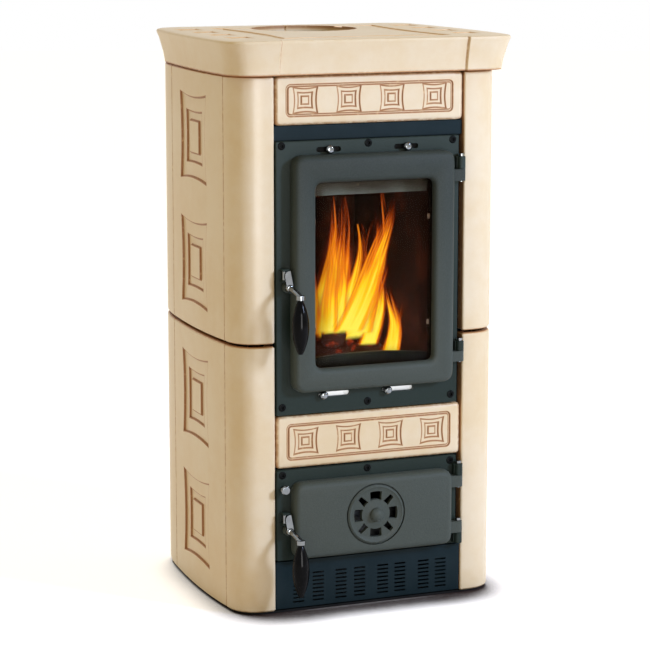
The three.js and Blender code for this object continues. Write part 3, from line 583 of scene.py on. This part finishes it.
# The steel body behind the tiles: folded sheet, spot-welded. What shows from the front
# is painted blue-black with a satin sheen; the tray, the sides and the top sheet are
# plain black stoving paint, and the back is bare zinc-coated plate.
def sheet_paint(name, base, worn, rough):
    """Stoving paint, a little paler in patches and where dust lies."""
    paint = Finish(name)
    drift = paint.cloud(22, 3)
    dust = paint.rise(paint.cloud(300, 2), 0.55, 0.8)
    colour = paint.blend(paint.rise(drift, 0.3, 0.7) * 0.5, base, worn)
    colour = paint.blend(dust * 0.25, colour, worn)
    return paint.finished(
        Base_Color=colour,
        Roughness=rough + 0.14 * drift,
        Specular_IOR_Level=0.08,
        Normal=paint.bump(paint.cloud(650, 2), 0.00005),
    )


def dress(node, material):
    """A CAD node that keeps its own mesh and gets its finish."""
    for slot in nodes[node].material_slots:
        slot.material = material


blue_black = sheet_paint(
    "blue_black_paint", (0.006, 0.017, 0.022, 1), (0.013, 0.026, 0.032, 1), 0.36
)
black_steel = sheet_paint(
    "black_steel", (0.008, 0.009, 0.010, 1), (0.022, 0.022, 0.022, 1), 0.5
)
for name in ("front_sheet", "front_strip", "louvre_panel"):
    dress(name, blue_black)
for name in ("base_tray", "side_sheet_left", "side_sheet_right", "top_sheet"):
    dress(name, black_steel)


def zinc(name, dark, pale, rough):
    """Zinc-coated plate, with its faint spangle of crystals."""
    paint = Finish(name)
    sockets = {"Vector": paint.place(), "Scale": 90}
    crystals = paint.node("ShaderNodeTexVoronoi", {}, sockets, "Color")
    shade = paint.node("ShaderNodeSeparateColor", {}, {0: crystals})
    tone = 0.6 * shade + 0.4 * paint.cloud(14, 3)
    return paint.finished(
        Base_Color=paint.ramp(tone, (0.1, dark), (0.9, pale)),
        Metallic=1.0,
        Roughness=rough + 0.2 * shade,
        Normal=paint.bump(paint.cloud(60, 3, 0.6, (1, 1, 30)), 0.00003),
    )


zinc_plate = zinc("zinc_plate", (0.36, 0.38, 0.39, 1), (0.60, 0.62, 0.62, 1), 0.34)
dress("back_panel", zinc_plate)


# The cast frames: two grey-green sand castings, screwed to the front sheet with black
# button-head screws, with hinge knuckles at the right and a catch roller on steel ears
# at the left. The faces keep the fine grain of the moulding sand under stove polish.
SCREW_X = (-0.1485, -0.005, 0.1385)
SCREW_PLACES = [(x, z) for z in (0.7385, 0.331, 0.223) for x in SCREW_X]
SCREW_SEAT_Y = -0.1898
SCREW_SOCKET_RING = (0.001, 0.0026)
SCREW_PROFILE = (
    (0, -0.0010),
    (0.0024, -0.0010),
    (0.0028, 0.0012),
    (0.0046, 0.0014),
    (0.0058, 0.0009),
    (0.0064, 0.0),
    (0.0064, -0.0016),
    (0, -0.0016),
)
FRAME_DARK = (0.008, 0.018, 0.014, 1)
FRAME_PALE = (0.028, 0.043, 0.037, 1)


def sand_cast(name, dark, pale, low):
    """Stove polish on cast iron. Its grain runs from dark to pale high up on the stove,
    and goes over to the colour `low` towards the foot."""
    paint = Finish(name)
    z = paint.axes()[2]
    grain = paint.cloud(780, 3, 0.7)
    coarse = paint.cloud(240, 2)
    drift = paint.cloud(7, 3)
    colour = paint.ramp(0.45 * drift + 0.55 * grain, (0.34, dark), (0.66, pale))
    down = paint.rise(z + 0.25 * drift, 0.86, 0.52)
    colour = paint.blend(down * (0.35 + 0.5 * grain), colour, low)
    pores = paint.bump(grain, 0.00032)
    return paint.finished(
        Base_Color=colour,
        Roughness=0.36 + 0.22 * coarse,
        Specular_IOR_Level=0.12,
        Normal=paint.bump(coarse, 0.00022, pores),
    )


frame_iron = sand_cast("frame_iron", FRAME_PALE, FRAME_PALE, FRAME_DARK)


def turned(profile, segments=48):
    """A round mesh about +Z from (radius, height) points, closed on the axis."""
    made = bmesh.new()
    corners = [made.verts.new((r, 0, h)) for r, h in profile]
    sides = [made.edges.new(pair) for pair in zip(corners, corners[1:])]
    bmesh.ops.spin(
        made,
        geom=corners + sides,
        cent=(0, 0, 0),
        axis=(0, 0, 1),
        angle=2 * pi,
        steps=segments,
        use_merge=True,
    )
    bmesh.ops.remove_doubles(made, verts=made.verts, dist=0.000001)
    bmesh.ops.recalc_face_normals(made, faces=made.faces)
    return made


def blackened(name):
    """Oil-blackened steel of the frame screws."""
    paint = Finish(name)
    drift = paint.cloud(500, 2)
    return paint.finished(
        Base_Color=paint.ramp(
            drift, (0.3, (0.002, 0.003, 0.003, 1)), (0.7, (0.007, 0.008, 0.008, 1))
        ),
        Specular_IOR_Level=0.05,
        Roughness=0.26 + 0.2 * drift,
        Normal=paint.bump(drift, 0.00004),
    )


screw_black = blackened("screw_black")


def socket_screw(number, x, z):
    """A button-head screw: a low dome with a rolled rim round its six-lobed socket."""
    made = turned(SCREW_PROFILE, 24)
    for corner in made.verts:
        if SCREW_SOCKET_RING[0] < corner.co.xy.length < SCREW_SOCKET_RING[1]:
            lobe = 1 + 0.16 * cos(6 * atan2(corner.co.y, corner.co.x))
            corner.co.x *= lobe
            corner.co.y *= lobe
    turn = Matrix.Rotation(radians(90), 3, "X") @ Matrix.Rotation(number * 0.7, 3, "Z")
    bmesh.ops.rotate(made, verts=made.verts, cent=(0, 0, 0), matrix=turn)
    bmesh.ops.translate(made, verts=made.verts, vec=(x, SCREW_SEAT_Y, z))
    keep(made, f"frame_screw_{number}", screw_black, "stove")


for number, (x, z) in enumerate(SCREW_PLACES, 1):
    socket_screw(number, x, z)
for name in ("fire_door_frame", "ash_door_frame"):
    fair_copy(name, f"cast_{name}", frame_iron, edge=0.0006)


def bright_plate(name, base, rough):
    """Chromed steel: a clean mirror with faint polishing marks and smears."""
    paint = Finish(name)
    smear = paint.cloud(70, 3)
    dull = [0.8 * c for c in base[:3]] + [1]
    return paint.finished(
        Base_Color=paint.ramp(smear, (0.3, dull), (0.7, base)),
        Metallic=1.0,
        Roughness=rough + 0.12 * smear,
        Normal=paint.bump(paint.cloud(500, 2, 0.5, (1, 1, 6)), 0.00002),
    )


chrome = bright_plate("chrome", (0.22, 0.235, 0.24, 1), 0.05)
for name in (
    "fire_hinge_pin_upper",
    "fire_hinge_pin_lower",
    "ash_hinge_pin_upper",
    "ash_hinge_pin_lower",
    "fire_catch_roller",
    "ash_catch_roller",
):
    fair_copy(name, f"bright_{name}", chrome, smooth=40, edge=0.0003)


# The fire door: a heavy casting with rounded edges round a ceramic window, which a thin
# steel retainer and four clips press on a glass-fibre rope. The door turns on two pins.
IRON_DARK = (0.024, 0.033, 0.029, 1)
IRON_PALE = (0.049, 0.060, 0.053, 1)
IRON_LOW = (0.088, 0.106, 0.092, 1)
WINDOW_MIDDLE_Z = 0.5365
WINDOW_HALF = (0.099, 0.1445)
CLIP_PLACES = [(x, z) for z in (0.620, 0.452) for x in (-0.0985, 0.0985)]
CLIP_SIZE = (0.009, 0.0014, 0.008)
CLIP_BACK_Y = -0.1935
CLIP_SCREW_DEPTH = 0.0012
cast_iron = sand_cast("cast_iron", IRON_DARK, IRON_PALE, IRON_LOW)
fair_copy(
    "fire_door_casting",
    "cast_fire_door",
    cast_iron,
    smooth=38,
    edge=0.0008,
)


def stove_glass(name):
    """Clear ceramic glass with a brown breath of soot towards its edges."""
    paint = Finish(name)
    x, _, z = paint.axes()
    edge = rounded_frame(paint, x, z - WINDOW_MIDDLE_Z, *WINDOW_HALF, 0.02)
    soot = paint.rise(edge + 0.03 * paint.cloud(18, 3), -0.02, 0.016)
    return paint.finished(
        Base_Color=paint.blend(soot, (0.95, 0.91, 0.87, 1), (0.40, 0.29, 0.22, 1)),
        Roughness=0.05 * soot,
        Transmission_Weight=1.0,
        IOR=1.09,
    )


def round_off(made, sides, width):
    bmesh.ops.bevel(
        made,
        geom=sides,
        offset=width,
        segments=2,
        profile=0.5,
        affect="EDGES",
        material=-1,
    )


def glass_clip(number, x, z):
    """A small flat tab with its screw, which holds the retainer and the glass."""
    made = bmesh.new()
    bmesh.ops.create_cube(made, size=1)
    bmesh.ops.scale(made, verts=made.verts, vec=CLIP_SIZE)
    round_off(made, made.edges[:], 0.0005)
    head = bmesh.ops.create_cone(
        made,
        cap_ends=True,
        segments=20,
        radius1=0.0030,
        radius2=0.0024,
        depth=CLIP_SCREW_DEPTH,
    )["verts"]
    inwards = Matrix.Rotation(radians(-90), 3, "X")
    bmesh.ops.rotate(made, verts=head, cent=(0, 0, 0), matrix=inwards)
    bmesh.ops.translate(made, verts=head, vec=(0, CLIP_SCREW_DEPTH, 0))
    bmesh.ops.translate(made, verts=made.verts, vec=(x, CLIP_BACK_Y, z))
    keep(made, f"glass_clip_{number}", zinc_plate, "fire_door")


dress("fire_door_glass", stove_glass("stove_glass"))
dress("fire_door_glass_retainer", black_steel)
for number, (x, z) in enumerate(CLIP_PLACES, 1):
    glass_clip(number, x, z)


def braid(name):
    """Knitted glass-fibre rope, grey-white and a little sooty."""
    paint = Finish(name)
    strands = paint.node(
        "ShaderNodeTexWave",
        {"wave_type": "BANDS", "bands_direction": "DIAGONAL"},
        {"Vector": paint.place(), "Scale": 160, "Distortion": 1.5, "Detail": 1},
        "Fac",
    )
    soot = paint.rise(paint.cloud(30, 3), 0.4, 0.7)
    colour = paint.ramp(
        strands, (0.1, (0.10, 0.095, 0.085, 1)), (0.8, (0.34, 0.32, 0.29, 1))
    )
    return paint.finished(
        Base_Color=paint.blend(soot * 0.6, colour, (0.07, 0.06, 0.055, 1)),
        Roughness=0.9 - 0.1 * soot,
        Normal=paint.bump(strands, 0.0005),
    )


rope = braid("rope_seal")
for name in ("fire_door_rope", "ash_door_rope"):
    fair_copy(name, f"braided_{name}", rope, edge=0.0018, steps=4)


# The ash door: a plain domed casting, hinged like the fire door. In its middle is the
# round air register, an iron disc with eight ports that turns on its spindle.
fair_copy(
    "ash_door_casting",
    "cast_ash_door",
    cast_iron,
    smooth=38,
    edge=0.0008,
)
fair_copy("air_disc", "cast_air_disc", cast_iron, edge=0.0007)


# The handles: a chromed steel lever on each door, with a curved stem and a collar, and
# a long turned grip of glossy black plastic screwed under the collar.
GRIP_LENGTH = 0.084
GRIP_RADIUS = 0.0135
GRIP_STEPS = 32
GRIP_TOPS = {"fire": (-0.136, -0.237, 0.507), "ash": (-0.136, -0.237, 0.122)}


def gloss_black(name):
    paint = Finish(name)
    smear = paint.cloud(90, 3)
    return paint.finished(
        Base_Color=paint.ramp(
            smear, (0.3, (0.0015, 0.0018, 0.002, 1)), (0.7, (0.004, 0.004, 0.0045, 1))
        ),
        Roughness=0.06 + 0.08 * smear,
        Specular_IOR_Level=0.06,
        Normal=paint.bump(paint.cloud(300, 2), 0.00002),
    )


black_grip = gloss_black("black_grip")
for door, place in GRIP_TOPS.items():
    lever = f"{door}_handle_lever"
    fair_copy(lever, f"chromed_{lever}", chrome, edge=0.0006)
    outline = [(0, 0)]
    for step in range(GRIP_STEPS + 1):
        t = step / GRIP_STEPS
        swell = sin(pi * (0.06 + 0.88 * t)) ** 0.8
        outline.append((GRIP_RADIUS * swell, -GRIP_LENGTH * t))
    outline.append((0, -GRIP_LENGTH))
    grip = turned(outline)
    bmesh.ops.translate(grip, verts=grip.verts, vec=place)
    body = f"{door}_handle"
    handle = keep(grip, f"turned_{door}_grip", black_grip, body)
    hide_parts(f"{door}_handle_grip")


# The air controls: four small chromed knobs on two flat slides behind the frame, black
# above and zinc-coated below, and the riddling rod's knob beside the ash door.
SLIDE_FACE_Y = -0.1834
pale_zinc = zinc("pale_zinc", (0.50, 0.51, 0.50, 1), (0.72, 0.73, 0.72, 1), 0.42)
for name, plate in (("upper_air_slide", black_steel), ("lower_air_slide", pale_zinc)):
    slide = fair_copy(name, f"{name}_with_knobs", chrome, edge=0.0004)
    slide.data.materials.append(plate)
    for face in slide.data.polygons:
        if face.center.y > SLIDE_FACE_Y:
            face.material_index = 1
fair_copy("riddling_rod", "riddling_rod_bright", chrome, edge=0.0003)


# The firebox: a welded steel shell lined with fire bricks, a cast baffle and deflector,
# a slotted grate and the guard that keeps the logs off the glass. Under it are the ash
# box, its pan and the riddling plate, and over it the flue collar.
BRICK_DARK = (0.040, 0.011, 0.006, 1)
BRICK_PALE = (0.100, 0.030, 0.018, 1)
SOOT = (0.016, 0.006, 0.005, 1)
# painted light: the deflector's iron is paler than the rest of the firebox iron, for
# its lit lip under the top of the window
DEFLECTOR_LIT_DARK = (0.075, 0.10, 0.105, 1)
DEFLECTOR_LIT_PALE = (0.12, 0.155, 0.16, 1)


def fire_brick(name):
    """Fired clay, sooted more towards the top of the firebox."""
    paint = Finish(name)
    z = paint.axes()[2]
    grain = paint.cloud(60, 4, 0.6)
    stain = paint.rise(paint.cloud(11, 4, 0.6) + 0.9 * (z - 0.5), 0.42, 0.62)
    colour = paint.ramp(grain, (0.3, BRICK_DARK), (0.7, BRICK_PALE))
    return paint.finished(
        Base_Color=paint.blend(stain * 0.8, colour, SOOT),
        Roughness=0.85 + 0.1 * grain,
        Specular_IOR_Level=0.1,
        Normal=paint.bump(grain, 0.0008),
    )


brick = fire_brick("fire_brick")
for name in ("fire_brick_left", "fire_brick_right", "fire_brick_back"):
    dress(name, brick)
for name in ("firebox_shell", "ash_box", "riddling_plate"):
    dress(name, black_steel)
dusty_zinc = zinc("dusty_zinc", (0.045, 0.046, 0.046, 1), (0.10, 0.10, 0.098, 1), 0.55)
dress("ash_pan", dusty_zinc)
inner_iron = sand_cast("inner_iron", SOOT, FRAME_DARK, FRAME_PALE)
for name in ("baffle_plate", "log_guard", "grate"):
    dress(name, inner_iron)
# painted light: a paler, lit copy of the firebox iron
lit_deflector_iron = sand_cast(
    "lit_deflector_iron", DEFLECTOR_LIT_DARK, DEFLECTOR_LIT_PALE, DEFLECTOR_LIT_PALE
)
dress("air_deflector", lit_deflector_iron)
fair_copy("flue_collar", "cast_flue_collar", inner_iron, edge=0.0008)


# The fire: three charred logs on the grate and glowing coals between them. Flames lick
# up from them towards the right, yellow at the root and red at their tips.
# the axis' two ends as x and y, the level of the underside, and the radius of each log
LOGS = {
    "front": ((-0.094, -0.086), (0.066, -0.078), 0.3464, 0.029),
    "rear": ((-0.084, 0.022), (0.090, 0.014), 0.3464, 0.029),
    "top": ((-0.034, -0.112), (0.044, 0.048), 0.4029, 0.024),
}
LOG_DARK = (0.012, 0.002, 0.001, 1)
LOG_HOT = (0.34, 0.03, 0.008, 1)
COAL_DARK = (0.10, 0.012, 0.003, 1)
COAL_HOT = (0.95, 0.20, 0.02, 1)
COAL_COUNT = 150
COAL_FIELD = ((-0.078, 0.078), (-0.112, 0.062))
COAL_REST_Z = 0.346


def glowing(name, dark, hot, share):
    """Charred wood, with embers where the clouds rise above share."""
    paint = Finish(name)
    ember = paint.rise(paint.cloud(55, 4, 0.65), share, share + 0.16)
    bark = paint.cloud(240, 3)
    return paint.finished(
        Base_Color=paint.ramp(
            bark, (0.3, (0.012, 0.006, 0.004, 1)), (0.7, (0.045, 0.018, 0.011, 1))
        ),
        Emission_Color=paint.blend(ember, dark, hot),
        Emission_Strength=1.0,
        Roughness=0.8 + 0.1 * bark,
        Specular_IOR_Level=0.1,
        Normal=paint.bump(bark, 0.001),
    )


log_glow = glowing("charred_log", LOG_DARK, LOG_HOT, 0.55)
coal_glow = glowing("coals", COAL_DARK, COAL_HOT, 0.48)


def charred_log(name, start, end, bottom, radius):
    """A split log: a knotty rod with one split face, burnt round at the ends."""
    flat = radius * cos(pi / 12)
    start = Vector((*start, bottom + flat))
    end = Vector((*end, bottom + flat))
    made = bmesh.new()
    bmesh.ops.create_cone(
        made,
        cap_ends=True,
        segments=20,
        radius1=radius * 0.97,
        radius2=radius * 0.97,
        depth=(end - start).length - 0.002,
    )
    ends = [e for e in made.edges if len({round(v.co.z, 4) for v in e.verts}) == 1]
    round_off(made, ends, 0.004)
    along = [e for e in made.edges if abs(e.verts[0].co.z - e.verts[1].co.z) > 0.01]
    bmesh.ops.subdivide_edges(made, edges=along, cuts=22, use_grid_fill=True)
    for corner in made.verts:
        seed = corner.co * 55 + Vector((radius * 900, 0, 0))
        burnt = 0.10 * noise.noise(seed) + 0.05 * noise.noise(corner.co * 190) - 0.06
        corner.co.x = min(corner.co.x * (1 + burnt), radius * 0.72)
        corner.co.y *= 1 + burnt
    turn = (end - start).to_track_quat("Z", "Y").to_matrix()
    bmesh.ops.rotate(made, verts=made.verts, cent=(0, 0, 0), matrix=turn)
    bmesh.ops.translate(made, verts=made.verts, vec=(start + end) / 2)
    for corner in made.verts:
        if corner.co.z < start.z:
            corner.co.z = start.z + (corner.co.z - start.z) * 1.08
        corner.co.z = max(corner.co.z, bottom)
    bmesh.ops.recalc_face_normals(made, faces=made.faces)
    log = keep(made, f"charred_log_{name}", log_glow, "stove", 30)
    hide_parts(f"fire_log_{name}")


for name, values in LOGS.items():
    charred_log(name, *values)

chance = random.Random(11)
coals = bmesh.new()
for number in range(COAL_COUNT):
    x = chance.uniform(*COAL_FIELD[0])
    y = chance.uniform(*COAL_FIELD[1])
    size = chance.uniform(0.005, 0.010)
    lump = bmesh.ops.create_icosphere(coals, subdivisions=2, radius=size)["verts"]
    for corner in lump:
        corner.co *= 1 + 0.35 * noise.noise(corner.co * 160 + Vector((number, 0, 0)))
        corner.co.z *= 0.75
    bmesh.ops.translate(coals, verts=lump, vec=(x, y, COAL_REST_Z + size * 0.7))
keep(coals, "glowing_coals", coal_glow, "stove", 50)


def flame_body(name):
    """Fire, clear at its edges. U runs across a tongue, from a whole number that is its
    own, and V runs up it; the streaks follow them."""
    paint = Finish(name)
    where = paint.node("ShaderNodeUVMap", {}, {})
    u = paint.node("ShaderNodeSeparateXYZ", {}, {0: where})
    up = u.beside(1)
    across = paint.math("FRACT", u)

    def streaks(wide, long):
        stretched = paint.node(
            "ShaderNodeMapping", {}, {"Vector": where, "Scale": (wide, long, 1)}
        )
        sockets = {"Vector": stretched, "Scale": 1, "Detail": 3, "Roughness": 0.55}
        return paint.node("ShaderNodeTexNoise", {}, sockets, "Fac") - 0.5

    middle = paint.rise(1 - abs(across - 0.5) * 2, 0, 0.8)
    heat = middle * (1.22 - 1.14 * up) - 0.06
    heat = heat + streaks(4.3, 1.2) * (0.6 + 1.5 * up) + streaks(17, 1.9) * 0.9
    to_left = paint.rise(paint.axes()[0], 0.0, -0.070)
    heat = heat - (0.10 + 0.42 * up) * to_left
    colour = paint.ramp(
        heat,
        (0.02, (0.10, 0.007, 0.004, 1)),
        (0.22, (0.36, 0.030, 0.005, 1)),
        (0.40, (0.80, 0.125, 0.007, 1)),
        (0.58, (1.0, 0.36, 0.009, 1)),
        (0.76, (1.0, 0.66, 0.013, 1)),
        (1.0, (1.0, 0.86, 0.09, 1)),
    )
    return paint.finished(
        Base_Color=(0, 0, 0, 1),
        Roughness=1.0,
        Specular_IOR_Level=0.0,
        Emission_Color=colour,
        Emission_Strength=1.1,
        Alpha=paint.rise(heat, 0.08, 0.70) * paint.rise(up, 0.0, 0.04),
    )


flame = flame_body("flame")
# the root, the tip, the width and the lean of the belly to the right of each tongue
FLAMES = (
    ((-0.016, -0.128, 0.428), (0.072, -0.112, 0.652), 0.092, 0.012),
    ((-0.050, -0.126, 0.430), (-0.042, -0.110, 0.606), 0.080, 0.004),
    ((0.006, -0.122, 0.424), (0.044, -0.108, 0.606), 0.086, 0.006),
    ((-0.066, -0.100, 0.425), (-0.060, -0.090, 0.664), 0.088, -0.006),
    ((-0.026, -0.090, 0.415), (-0.006, -0.080, 0.640), 0.098, 0.004),
    ((0.012, -0.090, 0.410), (0.066, -0.080, 0.652), 0.078, 0.016),
    ((0.060, -0.124, 0.378), (0.060, -0.112, 0.512), 0.054, 0.010),
    ((0.066, -0.115, 0.372), (0.086, -0.108, 0.470), 0.034, 0.006),
    ((-0.008, -0.112, 0.426), (0.016, -0.104, 0.600), 0.092, 0.008),
    ((-0.034, -0.118, 0.427), (-0.022, -0.106, 0.590), 0.084, 0.006),
    ((0.034, -0.096, 0.400), (0.060, -0.088, 0.560), 0.060, 0.010),
    ((-0.078, -0.070, 0.415), (-0.074, -0.062, 0.690), 0.130, 0.006),
    ((-0.030, -0.062, 0.415), (-0.004, -0.056, 0.640), 0.120, 0.008),
)


def tongue(number, root, tip, width, lean):
    """One tongue of flame: a sheet that bellies and twists a little towards its tip."""
    root, tip = Vector(root), Vector(tip)
    made = bmesh.new()
    chart = made.loops.layers.uv.new("UVMap")
    bmesh.ops.create_grid(made, x_segments=12, y_segments=28, size=0.5, calc_uvs=True)
    for face in made.faces:
        for loop in face.loops:
            loop[chart].uv.x += number
    turn = radians(14) * (-1) ** number
    for corner in made.verts:
        across, t = corner.co.x * 2, corner.co.y + 0.5
        girth = width / 2 * (0.80 + 0.75 * t) * (1 - 0.82 * t)
        spine = root.lerp(tip, t) + Vector((lean * sin(pi * t), 0, 0))
        sway = 0.005 * sin(7 * t + number * 1.7) * t
        angle = turn * (1 - t) + 0.4 * t
        reach = across * girth
        aside = Vector((reach * cos(angle) + sway, reach * sin(angle) * 0.6, 0))
        corner.co = spine + aside
    keep(made, f"flame_{number}", flame, "stove", smooth=180)


for number, values in enumerate(FLAMES, 1):
    tongue(number, *values)
